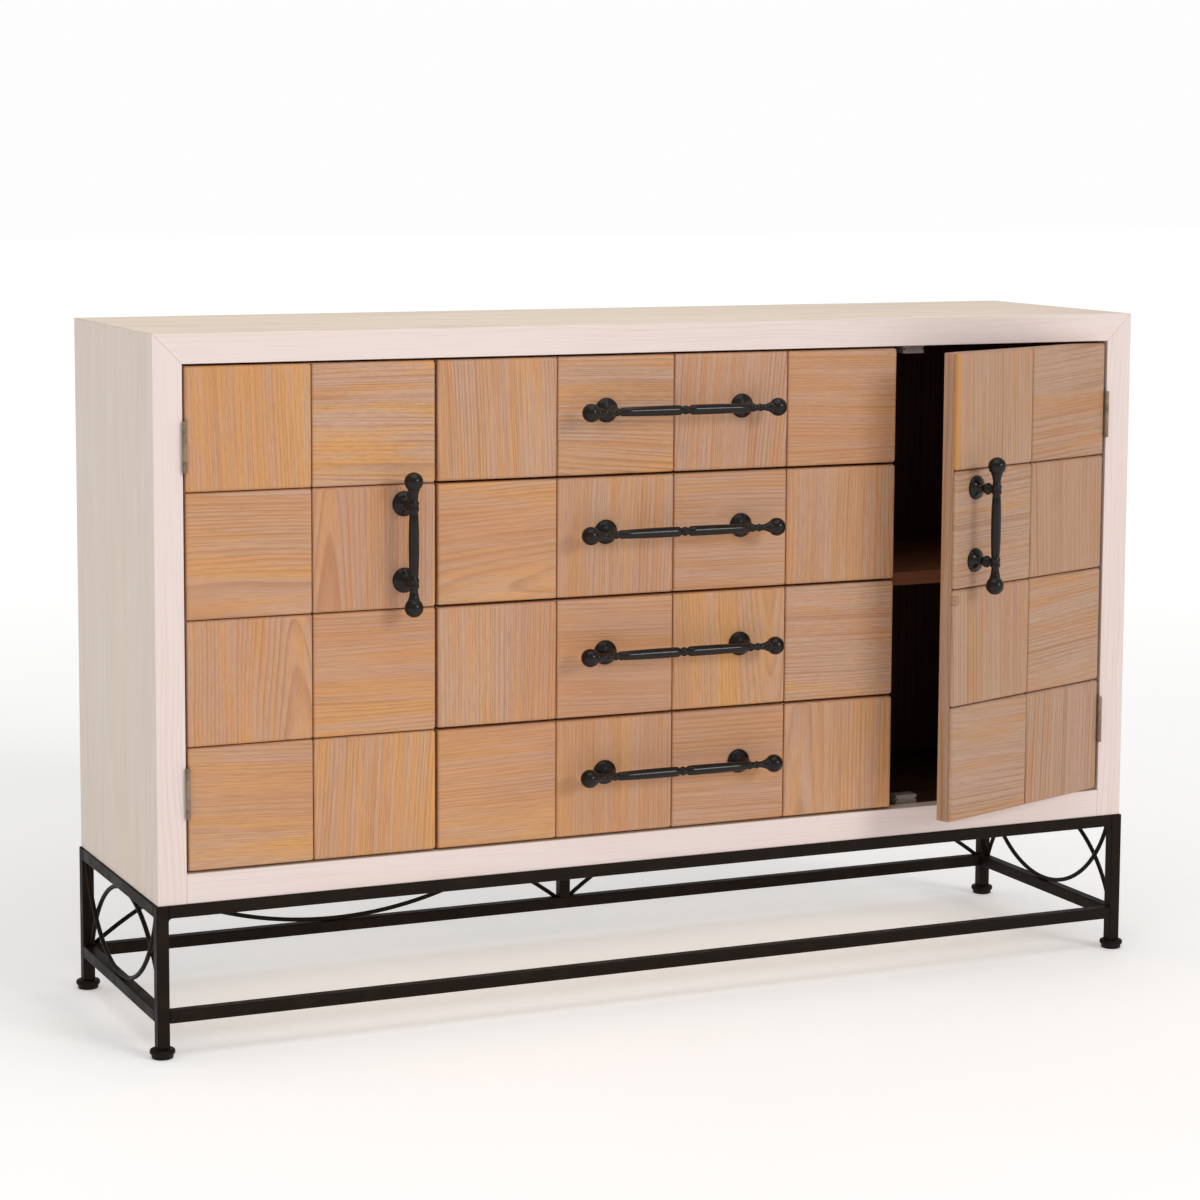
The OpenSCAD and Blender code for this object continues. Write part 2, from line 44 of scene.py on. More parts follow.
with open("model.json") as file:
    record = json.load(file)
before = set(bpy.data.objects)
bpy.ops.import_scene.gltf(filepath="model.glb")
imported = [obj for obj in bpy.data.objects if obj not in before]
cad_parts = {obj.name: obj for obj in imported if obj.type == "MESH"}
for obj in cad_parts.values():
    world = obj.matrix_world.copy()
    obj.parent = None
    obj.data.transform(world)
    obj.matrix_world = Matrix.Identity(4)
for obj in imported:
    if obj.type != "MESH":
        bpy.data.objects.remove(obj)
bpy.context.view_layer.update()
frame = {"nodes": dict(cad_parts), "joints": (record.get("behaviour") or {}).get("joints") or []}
MM = 0.001

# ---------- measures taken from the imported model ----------

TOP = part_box("top_panel")
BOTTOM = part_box("bottom_panel")
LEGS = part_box("legs")
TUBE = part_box("centre_post")[1].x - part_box("centre_post")[0].x
LEG_X = LEGS[1].x - TUBE / 2
LEG_Y = LEGS[1].y - TUBE / 2
RAIL_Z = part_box("top_rails")[0].z
STRETCHER_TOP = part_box("lower_stretchers")[1].z
OPEN_X = BOTTOM[1].x
OPEN_Z = (BOTTOM[1].z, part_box("back_panel")[1].z)
COLUMNS, ROWS = 8, 4
LEFT_DOOR_COLUMNS, DRAWER_COLUMNS, RIGHT_DOOR_COLUMNS = (0, 1), range(2, 6), (6, 7)
DRAWERS = range(1, ROWS + 1)
COLUMN_W = 2 * OPEN_X / COLUMNS
ROW_H = (OPEN_Z[1] - OPEN_Z[0]) / ROWS
FRONT_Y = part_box("drawer_1_tiles")[0].y
BOARD_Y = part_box("drawer_1_front")[0].y
HINGE = next(j for j in frame["joints"] if j["child"] == "right_door")
SWING = (Matrix.Translation(Vector(HINGE["pos_m"]))
         @ Matrix.Rotation(math.radians(-HINGE["range_deg"][0]), 4, "Z")
         @ Matrix.Translation(-Vector(HINGE["pos_m"])))


def tone(red, green, blue):
    """A colour given as 0 to 255 screen values, as the shaders take it."""
    return tuple((c / 255 / 12.92) if c / 255 <= 0.04045 else ((c / 255 + 0.055) / 1.055) ** 2.4
                 for c in (red, green, blue))


DARK_RINGS = tone(50, 31, 21)       # ring lines of the stained inside


# ---------- settings ----------

class SideboardWood(PropertyGroup):
    edge_round: FloatProperty(name="Edge rounding", description="Rounding of the case's edges",
                              default=0.8 * MM, min=0.0002, max=0.003, unit="LENGTH")
    tile_round: FloatProperty(name="Tile rounding",
                              description="Rounding of the tiles' front edges",
                              default=4.4 * MM, min=0.001, max=0.0055, unit="LENGTH")
    tile_gap: FloatProperty(name="Groove", description="Width of the grooves between tiles",
                            default=1.0 * MM, min=0.0003, max=0.003, unit="LENGTH")
    ring_width: FloatProperty(name="Ring width", description="Width of the pine's growth rings",
                              default=4.6 * MM, min=0.002, max=0.012, unit="LENGTH")
    whitewash: FloatVectorProperty(name="Whitewash", description="Colour of the painted case",
                                   default=tone(231, 214, 209), size=3, subtype="COLOR",
                                   min=0, max=1)
    pine: FloatVectorProperty(name="Pine", description="Colour of the early wood of the fronts",
                              default=tone(199, 147, 105), size=3, subtype="COLOR", min=0, max=1)
    late_pine: FloatVectorProperty(name="Late wood", description="Colour of the dark ring lines",
                                   default=tone(158, 105, 69), size=3, subtype="COLOR",
                                   min=0, max=1)
    inside: FloatVectorProperty(name="Inside", description="Colour of the stained inside",
                                default=tone(80, 50, 35), size=3, subtype="COLOR", min=0, max=1)


class SideboardMetal(PropertyGroup):
    tube_round: FloatProperty(name="Tube rounding", description="Corner radius of the square tube",
                              default=1.6 * MM, min=0.0005, max=0.004, unit="LENGTH")
    rod_steps: IntProperty(name="Rod steps", description="Segments along a bent rod",
                           default=48, min=12, max=96)
    steel: FloatVectorProperty(name="Frame", description="Colour of the frame's powder coat",
                               default=tone(29, 21, 15), size=3, subtype="COLOR", min=0, max=1)
    iron: FloatVectorProperty(name="Handles", description="Colour of the cast handles",
                              default=tone(22, 17, 14), size=3, subtype="COLOR", min=0, max=1)


class SideboardStage(PropertyGroup):
    camera_place: FloatVectorProperty(name="Camera", description="Place of the camera", size=3,
                                      default=(-1.76054, -3.88426, 1.13801),
                                      subtype="TRANSLATION")
    camera_turn: FloatVectorProperty(name="Turn", description="Heading, dip and roll", size=3,
                                     default=(0.42037, 0.11413, 0.00511), subtype="EULER")
    lens: FloatProperty(name="Lens", description="Focal length in millimetres", default=94.789,
                        min=20, max=300)
    shift: FloatProperty(name="Shift", description="Vertical shift of the lens",
                         default=-0.08333, min=-0.2, max=0.2)
    key_power: FloatProperty(name="Key light", description="Strength of the main light",
                             default=0.85, min=0, max=10)
    key_soft: FloatProperty(name="Key softness", description="Apparent size of the main light",
                            default=math.radians(17), min=0, max=math.pi, subtype="ANGLE")
    sky: FloatProperty(name="Room light", description="Strength of the white surroundings",
                       default=0.5, min=0, max=3)
    overhead: FloatProperty(name="Overhead light", description="Power of the light above",
                            default=23, min=0, max=500, unit="POWER")
    floor_glow: FloatProperty(name="Floor glow", description="Light given off by the floor",
                              default=0.5, min=0, max=1)


# ---------- shader building ----------

class Shade:
    """A node's output that can stand in a sum."""

    def __init__(self, finish, socket):
        self.finish, self.socket = finish, socket

    def out(self, name):
        return Shade(self.finish, self.socket.node.outputs[name])

    def sum(self, operation, a, b):
        return self.finish.node("ShaderNodeMath", {"operation": operation}, {0: a, 1: b})

    def __add__(self, other):
        return self.sum("ADD", self, other)

    def __radd__(self, other):
        return self.sum("ADD", other, self)

    def __sub__(self, other):
        return self.sum("SUBTRACT", self, other)

    def __rsub__(self, other):
        return self.sum("SUBTRACT", other, self)

    def __mul__(self, other):
        return self.sum("MULTIPLY", self, other)

    def __rmul__(self, other):
        return self.sum("MULTIPLY", other, self)

    def __truediv__(self, other):
        return self.sum("DIVIDE", self, other)

    def __rtruediv__(self, other):
        return self.sum("DIVIDE", other, self)


class Finish:
    """One material and the nodes in it."""

    def __init__(self, name, **constants):
        self.material = bpy.data.materials.new(name)
        self.material.use_nodes = True
        self.tree = self.material.node_tree
        self.skin = self.tree.nodes["Principled BSDF"]
        for socket, value in constants.items():
            self.skin.inputs[socket.replace("_", " ")].default_value = value

    def node(self, kind, settings=None, inputs=None, out=0):
        made = self.tree.nodes.new(kind)
        for name, value in (settings or {}).items():
            if name == "stops":
                ramp = made.color_ramp
                while len(ramp.elements) < len(value):
                    ramp.elements.new(0.5)
                for element, (place, colour) in zip(ramp.elements, value):
                    element.position = place
                    element.color = (*colour, 1) if len(colour) == 3 else colour
            else:
                setattr(made, name, value)
        for name, value in (inputs or {}).items():
            if isinstance(value, Shade):
                self.tree.links.new(value.socket, made.inputs[name])
            elif hasattr(made.inputs[name].default_value, "__len__"):
                room = len(made.inputs[name].default_value)
                made.inputs[name].default_value = (*value, 1)[:room]
            else:
                made.inputs[name].default_value = value
        return Shade(self, made.outputs[out])

    def feed(self, **links):
        """Links varying values to the shader's sockets."""
        for name, value in links.items():
            self.tree.links.new(value.socket, self.skin.inputs[name.replace("_", " ")])
        return self.material

    def place(self):
        return self.node("ShaderNodeTexCoord", out="Object")

    def attribute(self, name):
        return self.node("ShaderNodeAttribute", {"attribute_name": name}, out="Vector")

    def parts(self, vector):
        return self.node("ShaderNodeSeparateXYZ", {}, {0: vector})

    def joined(self, **parts):
        return self.node("ShaderNodeCombineXYZ", {}, parts)

    def length(self, vector):
        return self.node("ShaderNodeVectorMath", {"operation": "LENGTH"}, {0: vector},
                         out="Value")

    def tree_place(self, along, place):
        """Object coordinates turned so that X runs along the grain, moved off the pith."""
        turn = (0, math.pi / 2 if along == "Z" else 0, 0)
        return self.node("ShaderNodeVectorMath", {"operation": "ADD"},
                         {0: self.scaled(self.place(), (1, 1, 1), turn), 1: place})

    def scaled(self, vector, scale, turn=(0, 0, 0)):
        return self.node("ShaderNodeMapping", {}, {"Vector": vector, "Scale": scale,
                                                   "Rotation": turn})

    def noise(self, vector, scale=(1, 1, 1), detail=2.0, rough=0.5):
        return self.node("ShaderNodeTexNoise", {}, {
            "Vector": self.scaled(vector, scale), "Scale": 1.0, "Detail": detail,
            "Roughness": rough})

    def mix(self, share, a, b):
        return self.node("ShaderNodeMix", {"data_type": "RGBA"}, {0: share, 6: a, 7: b}, out=2)

    def band(self, value, low, high, to_low=0.0, to_high=1.0):
        return self.node("ShaderNodeMapRange", {"interpolation_type": "SMOOTHSTEP"},
                         {"Value": value, "From Min": low, "From Max": high,
                          "To Min": to_low, "To Max": to_high})

    def ramp(self, value, stops):
        return self.node("ShaderNodeValToRGB", {"stops": stops}, {"Fac": value})

    def greys(self, value, *stops):
        return self.ramp(value, [(place, (grey,) * 3) for place, grey in stops])

    def bump(self, height, strength, depth):
        return self.node("ShaderNodeBump", {}, {"Strength": strength, "Distance": depth,
                                                "Height": height})


def grain_rings(f, place, ring, wander):
    """Growth rings round a pith along X: 0 at early wood, rising to 1 at late wood."""
    slow = f.noise(place, (1.9, 9, 9), 2.0) - 0.5
    fine = f.noise(place, (9, 60, 60), 1.0) - 0.5
    parts = f.parts(place)
    across = parts.out("Z") + slow * wander + fine * (wander * 0.05)
    section = f.joined(Y=parts.out("Y") + slow * (wander * 0.5), Z=across)
    count = f.length(section) / ring
    uneven = f.node("ShaderNodeTexNoise", {"noise_dimensions": "1D"},
                    {"W": count * 0.37, "Scale": 1.0, "Detail": 1.0})
    return f.node("ShaderNodeMath", {"operation": "FRACT"}, {0: count + uneven * 2.2})


def brushed_pine(wood):
    """Brushed pine with a thin greyish wash left in its grain, and painted shade deep in the
    grooves and on the right door.
    """
    f = Finish("brushed_pine", Coat_Roughness=0.45, IOR=1.45)
    place = f.attribute("grain")
    board = f.parts(f.attribute("board"))
    # The third value is the share of painted groove shade; the wash value also carries the right
    # door's painted shade.
    tint, wash_and_shade, depth = board.out("X"), board.out("Y"), board.out("Z")
    turn = grain_rings(f, place, wood.ring_width, 0.024)
    late = f.greys(turn, (0.0, 0.1), (0.4, 0.04), (0.7, 0.5), (0.85, 1), (0.92, 0.9),
                   (1.0, 0.1))
    fibre = f.noise(place, (26, 900, 900), 2.0, 0.6)
    streak = f.noise(place, (3.4, 62, 62), 2.0, 0.6)
    drift = f.noise(place, (2.2, 15, 15), 2.0)
    fade = f.band(f.noise(place, (5, 40, 40), 2.0), 0.3, 0.65, 0.3, 1.0)
    late_share = late * fade * (0.42 + wash_and_shade * 0.42)
    colour = f.mix(f.band(drift + tint * 0.5, 0.5, 0.95, 0.0, 0.85), tuple(wood.pine),
                   tone(216, 157, 92))
    washed = f.band(streak + wash_and_shade * 0.16, 0.44, 0.68)
    colour = f.mix(washed * (0.38 + wash_and_shade * 0.45), colour, tone(192, 161, 143))
    colour = f.mix(late_share, colour, tuple(wood.late_pine))
    colour = f.mix(f.band(fibre, 0.4, 0.72, 0.0, 0.3), colour, tone(140, 96, 66))
    colour = f.mix(f.band(f.noise(place, (1.3, 6, 6), 1.0), 0.35, 0.7, 0.0, 0.25), colour,
                   tone(190, 126, 88))
    # Painted shade: each tile darkens towards its back, deep in the grooves.
    colour = f.mix(f.band(depth, 0.5, 1.0, 0.0, 0.6), colour, tone(142, 98, 66))
    mark = f.parts(f.attribute("mark"))
    knot = f.length(f.joined(X=mark.out("X"), Y=mark.out("Y"))) + (drift - 0.5) * 0.0016
    ring_line = f.band(knot, 0.0045, 0.0058) * f.band(knot, 0.0062, 0.0078, 1.0, 0.0)
    colour = f.mix(f.band(knot, 0.001, 0.006, 0.45, 0.0) + ring_line * 0.65, colour,
                   tone(104, 66, 40))
    colour = f.mix(f.band(mark.out("Z"), 0.005, 0.0095, 0.85, 0.0), colour, tone(203, 142, 72))
    # Painted shade: boards with high wash, those of the right door, turn a darker brown-grey.
    colour = f.mix(f.band(wash_and_shade, 0.62, 0.95, 0.0, 0.24), colour, tone(134, 104, 66))
    height = late * 0.5 + fibre * 0.5 + streak * 0.3
    rough = f.band(fibre + late * 0.3, 0.3, 1.0, 0.62, 0.48)
    return f.feed(Base_Color=colour, Roughness=rough,
                  Normal=f.bump(height, 0.55, 0.0008))


def groove_stain():
    """Dark stain on the boards behind the tiles."""
    f = Finish("groove_stain")
    place = f.place()
    fibre = f.noise(place, (60, 60, 60), 3.0)
    colour = f.ramp(fibre, [(0.3, tone(86, 57, 39)), (0.7, tone(114, 79, 55))])
    return f.feed(Base_Color=colour, Roughness=f.band(fibre, 0.3, 0.7, 0.6, 0.8),
                  Normal=f.bump(fibre, 0.3, 0.0005))


WHITE_RING, STAINED_RING = 7.2 * MM, 5.5 * MM
FRONT_WASH = 2 * MM                 # depth of the front edges' own colour
STAIN_STARTS, STAIN_FULL = 26 * MM, 34 * MM


def whitewashed(wood, name, along, face_cream_and_shade):
    """White wash over softwood, its grain along one axis, pinker on the front edges.

    The faces towards the inside turn to the dark stain behind the fronts. The other faces take the
    face colour given, which is darker on the upright panels as painted shade.
    """
    f = Finish(name, IOR=1.45)
    spot = f.tree_place(along, (3.1, 0.11, -0.23 if along == "Z" else 0.31))
    turn = grain_rings(f, spot, WHITE_RING, 0.05)
    late = f.greys(turn, (0.0, 0.1), (0.45, 0.05), (0.85, 1), (0.95, 0.7), (1.0, 0.1))
    fade = f.noise(spot, (2.2, 16, 16), 3.0)
    fibre = f.noise(spot, (14, 420, 420), 3.0, 0.6)
    thin = f.noise(spot, (3.0, 38, 38), 3.0, 0.55)
    worn = f.noise(spot, (1.1, 6.5, 6.5), 2.0)
    case_place = f.parts(f.place())
    depth = case_place.out("Y")
    inner = f.band(depth, TOP[0].y, TOP[0].y + FRONT_WASH)
    # Faces behind the front edges take the face colour, which holds painted shade on the upright
    # panels.
    colour = f.mix(inner, tuple(wood.whitewash), face_cream_and_shade)
    colour = f.mix(f.band(thin, 0.42, 0.72, 0.0, 0.5) * (0.35 + inner * 0.65), colour,
                   tone(226, 206, 184))
    colour = f.mix(late * f.band(fade, 0.42, 0.75, 0.05, 0.34), colour, tone(205, 182, 160))
    colour = f.mix(f.band(worn, 0.52, 0.78, 0.0, 0.4) * inner, colour, tone(233, 210, 178))
    colour = f.mix(f.band(fibre, 0.45, 0.75, 0.0, 0.2), colour, tone(206, 190, 178))
    axis, half, middle = (("X", OPEN_X, 0.0) if along == "Z" else
                          ("Z", (OPEN_Z[1] - OPEN_Z[0]) / 2, (OPEN_Z[1] + OPEN_Z[0]) / 2))
    off = f.node("ShaderNodeMath", {"operation": "ABSOLUTE"},
                 {0: case_place.out(axis) - middle})
    stained = f.band(off, half + 0.2 * MM, half + 0.4 * MM, 1.0, 0.0) * f.band(
        depth + thin * 0.012, TOP[0].y + STAIN_STARTS, TOP[0].y + STAIN_FULL)
    colour = f.mix(stained, colour, f.mix(late, tuple(wood.inside), DARK_RINGS))
    height = fibre * 0.6 + late * 0.3 + thin * 0.4
    return f.feed(Base_Color=colour, Roughness=f.band(fibre, 0.3, 0.7, 0.42, 0.58),
                  Normal=f.bump(height, 0.35, 0.0004))


def stained_wood(name, early, late_tone, rough, along="X"):
    """Plain stained boards of the inside, the shelves and the drawer boxes."""
    f = Finish(name)
    spot = f.tree_place(along, (1.7, 0.07, 0.42))
    turn = grain_rings(f, spot, STAINED_RING, 0.06)
    late = f.greys(turn, (0.0, 0.1), (0.5, 0.1), (0.85, 1), (1.0, 0.1))
    fibre = f.noise(spot, (18, 600, 600), 3.0, 0.6)
    patch = f.noise(spot, (2, 11, 11), 2.0)
    share = late * 0.55 + f.band(patch, 0.3, 0.7, 0.0, 0.35) + f.band(fibre, 0.4, 0.7, 0.0, 0.2)
    colour = f.mix(share, early, late_tone)
    return f.feed(Base_Color=colour, Roughness=f.band(fibre, 0.3, 0.7, rough, rough + 0.16),
                  Normal=f.bump(fibre + late * 0.4, 0.35, 0.0004))


def powder_coat(metal):
    """Bronze black powder coat with a fine orange peel."""
    f = Finish("powder_coat", Specular_IOR_Level=0.08, IOR=1.5)
    place = f.place()
    peel = f.noise(place, (700, 700, 700), 2.0)
    rub = f.noise(place, (22, 22, 22), 3.0, 0.6)
    dust = f.noise(place, (5, 5, 5), 2.0)
    colour = f.mix(f.band(rub, 0.45, 0.75, 0.0, 0.5), tuple(metal.steel), tone(44, 35, 28))
    colour = f.mix(f.band(dust, 0.4, 0.8, 0.0, 0.35), colour, tone(26, 22, 19))
    return f.feed(Base_Color=colour, Roughness=f.band(rub, 0.3, 0.7, 0.4, 0.56),
                  Normal=f.bump(peel, 0.25, 0.0002))


def cast_black(metal):
    """Satin black paint on an uneven casting."""
    f = Finish("cast_black", Coat_Roughness=0.11, IOR=1.5, Coat_Weight=0.36,
               Specular_IOR_Level=0.08)
    place = f.place()
    pits = f.noise(place, (420, 420, 420), 3.0, 0.6)
    lumps = f.noise(place, (90, 90, 90), 2.0)
    colour = f.mix(f.band(lumps, 0.4, 0.7, 0.0, 0.6), tuple(metal.iron), tone(28, 22, 18))
    return f.feed(Base_Color=colour, Roughness=f.band(pits, 0.3, 0.7, 0.26, 0.42),
                  Normal=f.bump(pits * 0.4 + lumps, 0.22, 0.0004))


def plated(name, light, dark, metallic, rough):
    """Rolled or plated steel with faint scratches and dull patches."""
    f = Finish(name, Metallic=metallic)
    place = f.place()
    scratch = f.noise(place, (900, 40, 900), 2.0)
    patch = f.noise(place, (45, 45, 45), 3.0, 0.6)
    colour = f.mix(f.band(patch, 0.35, 0.7), light, dark)
    return f.feed(Base_Color=colour,
                  Roughness=f.band(patch + scratch * 0.4, 0.4, 1.0, rough, rough + 0.22),
                  Normal=f.bump(scratch, 0.2, 0.0001))


def moulded_plastic():
    """Light grey moulded plastic."""
    f = Finish("moulded_plastic")
    place = f.place()
    texture = f.noise(place, (1200, 1200, 1200), 2.0)
    flow = f.noise(place, (60, 60, 60), 2.0)
    colour = f.ramp(flow, [(0.3, tone(138, 128, 126)), (0.7, tone(156, 147, 144))])
    return f.feed(Base_Color=colour, Roughness=f.band(flow, 0.3, 0.7, 0.42, 0.55),
                  Normal=f.bump(texture, 0.2, 0.0001))


# ---------- mesh building ----------

def round_edges(bm, edges, size, segments):
    """Bevels edges and shades the new faces smooth."""
    rounded = bmesh.ops.bevel(bm, geom=edges, offset=size, offset_type="OFFSET",
                              segments=segments, profile=0.5, affect="EDGES", material=-1,
                              clamp_overlap=True)
    for face in rounded["faces"]:
        face.smooth = True


def smooth_faces(verts):
    """Shades every face round the given points smooth."""
    for v in verts:
        for face in v.link_faces:
            face.smooth = True


def lay_board(bm, low, high, rounding, segments=2, cuts=()):
    """A board between two corners, cut by planes and rounded along its edges."""
    low, high = Vector(low), Vector(high)
    made = bmesh.ops.create_cube(bm, size=1)["verts"]
    bmesh.ops.scale(bm, vec=high - low, verts=made)
    bmesh.ops.translate(bm, vec=(low + high) / 2, verts=made)
    for point, normal in cuts:
        faces = {f for v in made for f in v.link_faces}
        geom = list(faces) + list({e for f in faces for e in f.edges}) + \
            list({v for f in faces for v in f.verts})
        cut = bmesh.ops.bisect_plane(bm, geom=geom, dist=1e-7, plane_co=point,
                                     plane_no=normal, clear_outer=True)
        rim = [e for e in cut["geom_cut"] if isinstance(e, bmesh.types.BMEdge)]
        bmesh.ops.edgeloop_fill(bm, edges=rim)
        made = [v for v in cut["geom"] if isinstance(v, bmesh.types.BMVert) and v.is_valid]
        made = list(set(made) | {v for e in rim for v in e.verts})
    if rounding > 0:
        round_edges(bm, list({e for v in made for e in v.link_edges}), rounding, segments)


def turned(bm, line, place, steps=40):
    """Spins an outline of (distance along Z, radius), in millimetres, and puts it in place."""
    points = [(line[0][0], 0.0), *line, (line[-1][0], 0.0)]
    verts = [bm.verts.new((radius * MM, 0, along * MM)) for along, radius in points]
    edges = [bm.edges.new(pair) for pair in zip(verts, verts[1:])]
    bmesh.ops.spin(bm, geom=verts + edges, cent=(0, 0, 0), axis=(0, 0, 1), dvec=(0, 0, 0),
                   angle=2 * math.pi, steps=steps, use_merge=True, use_normal_flip=False,
                   use_duplicate=False)
    found, todo = set(verts), list(verts)
    while todo:
        for edge in todo.pop().link_edges:
            for v in edge.verts:
                if v not in found:
                    found.add(v)
                    todo.append(v)
    smooth_faces(found)
    bmesh.ops.transform(bm, matrix=place, verts=list(found))


def swept_rod(bm, radius, bend, half_angle, steps, place):
    """A round rod bent to part of a circle in the XZ plane, hanging below its centre."""
    ring = bmesh.ops.create_circle(bm, cap_ends=True, radius=radius, segments=16)["verts"]
    stand = (Matrix.Rotation(half_angle, 4, "Y") @ Matrix.Translation((0, 0, -bend))
             @ Matrix.Rotation(math.pi / 2, 4, "Y"))
    bmesh.ops.transform(bm, matrix=stand, verts=ring)
    face = ring[0].link_faces[0]
    before = set(bm.verts) - set(ring)
    bmesh.ops.spin(bm, geom=ring + list(face.edges) + [face], cent=(0, 0, 0), axis=(0, 1, 0),
                   dvec=(0, 0, 0), angle=-2 * half_angle, steps=steps, use_merge=False,
                   use_normal_flip=False, use_duplicate=False)
    made = [v for v in bm.verts if v not in before]
    for v in made:
        for f in v.link_faces:
            f.smooth = len(f.verts) == 4
    bmesh.ops.transform(bm, matrix=place, verts=made)


def finish_piece(name, bm, body, materials, replaces, weld=True):
    """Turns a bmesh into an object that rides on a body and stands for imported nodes."""
    if weld:
        bmesh.ops.remove_doubles(bm, verts=bm.verts, dist=1e-6)
    bmesh.ops.recalc_face_normals(bm, faces=bm.faces)
    mesh = bpy.data.meshes.new(name)
    bm.to_mesh(mesh)
    bm.free()
    for material in materials:
        mesh.materials.append(material)
    piece = bpy.data.objects.new(name, mesh)
    bpy.context.scene.collection.objects.link(piece)
    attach(piece, body)
    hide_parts(*replaces)


def dress(node, material):
    """Gives a carried-over part its material."""
    mesh = frame["nodes"][node].data
    mesh.materials.clear()
    mesh.materials.append(material)


def wood_bmesh():
    """An empty bmesh that can hold the grain of its boards."""
    bm = bmesh.new()
    for name in ("grain", "board", "mark"):
        bm.verts.layers.float_vector.new(name)
    return bm


GREY_WASH = 0.7         # boards with more wash than this have straight, coarse grain
COARSE = 0.78
UNMARKED = 1.0          # metres from a board's knot or golden edge, where it has none


def mark_grain(bm, verts, low, high, upright, seed, tint, wash_and_shade, depth=None, knot=None,
               golden=None):
    """Stores where in the tree a board was cut, how its wood looks, the painted shade it takes,
    and its marks.
    """
    draw = random.Random(seed)
    grain, board, mark = (bm.verts.layers.float_vector[name]
                          for name in ("grain", "board", "mark"))
    centre = (Vector(low) + Vector(high)) / 2
    lean = Matrix.Rotation(draw.uniform(-0.05, 0.05), 3, "Y") @ \
        Matrix.Rotation(draw.uniform(-0.07, 0.07), 3, "Z")
    side = draw.choice((-1, 1)) * draw.choice((0.06, 0.12, 0.16, 0.2, 0.24) if wash_and_shade < GREY_WASH
                                             else (0.16, 0.19, 0.22, 0.25))
    away = Vector((draw.uniform(-30, 30), draw.uniform(0.035, 0.09), side))
    for v in verts:
        at = (v.co - centre) * (COARSE if wash_and_shade > GREY_WASH else 1.0)
        if upright:
            at = Vector((at.z, at.y, -at.x))
        v[grain] = lean @ at + away
        # Painted groove shade: 0 at the tile's front, rising to 1 at its back.
        groove_shade = 0.0 if depth is None else min(1.0, max(0.0, (v.co.y - depth[0]) / depth[1]))
        v[board] = (tint, wash_and_shade, groove_shade)
        v[mark] = (UNMARKED if knot is None else v.co.x - knot[0],
                   UNMARKED if knot is None else v.co.z - knot[1],
                   UNMARKED if golden is None else v.co.x - golden)


# ---------- the pieces ----------

BOX_ROUND, SHELF_ROUND, FRONT_ROUND = 0.8 * MM, 1.5 * MM, 1.0 * MM
BACK_LOWER = 8 * MM             # a drawer's back, below its sides
FREE_ROUND = 5.4 * MM           # tiles along a door's free edge
SIDE_SHARE = 0.65               # rounding of a tile's upright edges, of its level ones
KNOT_TILE, KNOT_IN, KNOT_DOWN = (2, 6), 3 * MM, 14 * MM     # row and column, its place
GOLDEN_TILE = (0, 6)
ROD_CLEAR = 0.05 * MM           # each rod's distance from the tubes' middle
ROD_SINKS = 0.004               # radians by which a rod's end runs into its tube


class SIDEBOARD_OT_case(Operator):
    """Top, sides and bottom of the case, mitred at the upper corners"""
    bl_idname = "sideboard.case"
    bl_label = "Case"

    def execute(self, context):
        wood = context.scene.sideboard_wood
        flat = whitewashed(wood, "whitewash_lengthwise", "X", tone(246, 227, 207))
        # The upright panels' faces get a darker cream than the top and bottom: painted shade for
        # the sides.
        tall = whitewashed(wood, "whitewash_upright_shaded", "Z", tone(233, 218, 206))
        corner_x, corner_z = TOP[1].x, TOP[1].z
        for name, sides, material in (("top_panel", (-1, 1), flat),
                                      ("left_side_panel", (-1,), tall),
                                      ("right_side_panel", (1,), tall),
                                      ("bottom_panel", (), flat)):
            low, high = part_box(name)
            keep = 1 if name == "top_panel" else -1
            cuts = [(Vector((side * corner_x, 0, corner_z)),
                     Vector((side, 0, -1)).normalized() * keep) for side in sides]
            bm = bmesh.new()
            lay_board(bm, low, high, wood.edge_round, cuts=cuts)
            finish_piece(name.replace("_panel", "_board"), bm, "case_and_frame",
                         [material], [name])
        return {"FINISHED"}


class SIDEBOARD_OT_inside(Operator):
    """Back, partitions, shelves and the fittings inside the case"""
    bl_idname = "sideboard.inside"
    bl_label = "Inside"

    def execute(self, context):
        wood = context.scene.sideboard_wood
        dark = stained_wood("inside_stain", tuple(wood.inside), DARK_RINGS, 0.5, along="Z")
        shelf_wood = stained_wood("shelf_stain", tone(160, 102, 66), tone(120, 70, 42), 0.42)
        for kind, slot, material, rounding in (
                ("partition", "dark_inside_wood", dark, wood.edge_round),
                ("shelf", "stained_shelf_wood", shelf_wood, SHELF_ROUND)):
            for name in ("left_" + kind, "right_" + kind):
                bm = bmesh.new()
                lay_board(bm, *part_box(name), rounding)
                finish_piece(name + "_board", bm, "case_and_frame", [material], [name])
        dress("back_panel", dark)
        zinc = plated("zinc_plate", tone(182, 183, 184), tone(150, 151, 152), 0.6, 0.34)
        for name in ("shelf_pegs", "runner_channels", "left_door_strikes",
                     "right_door_strikes", *(f"drawer_{k}_rails" for k in DRAWERS)):
            dress(name, zinc)
        dress("magnetic_catches", moulded_plastic())
        return {"FINISHED"}


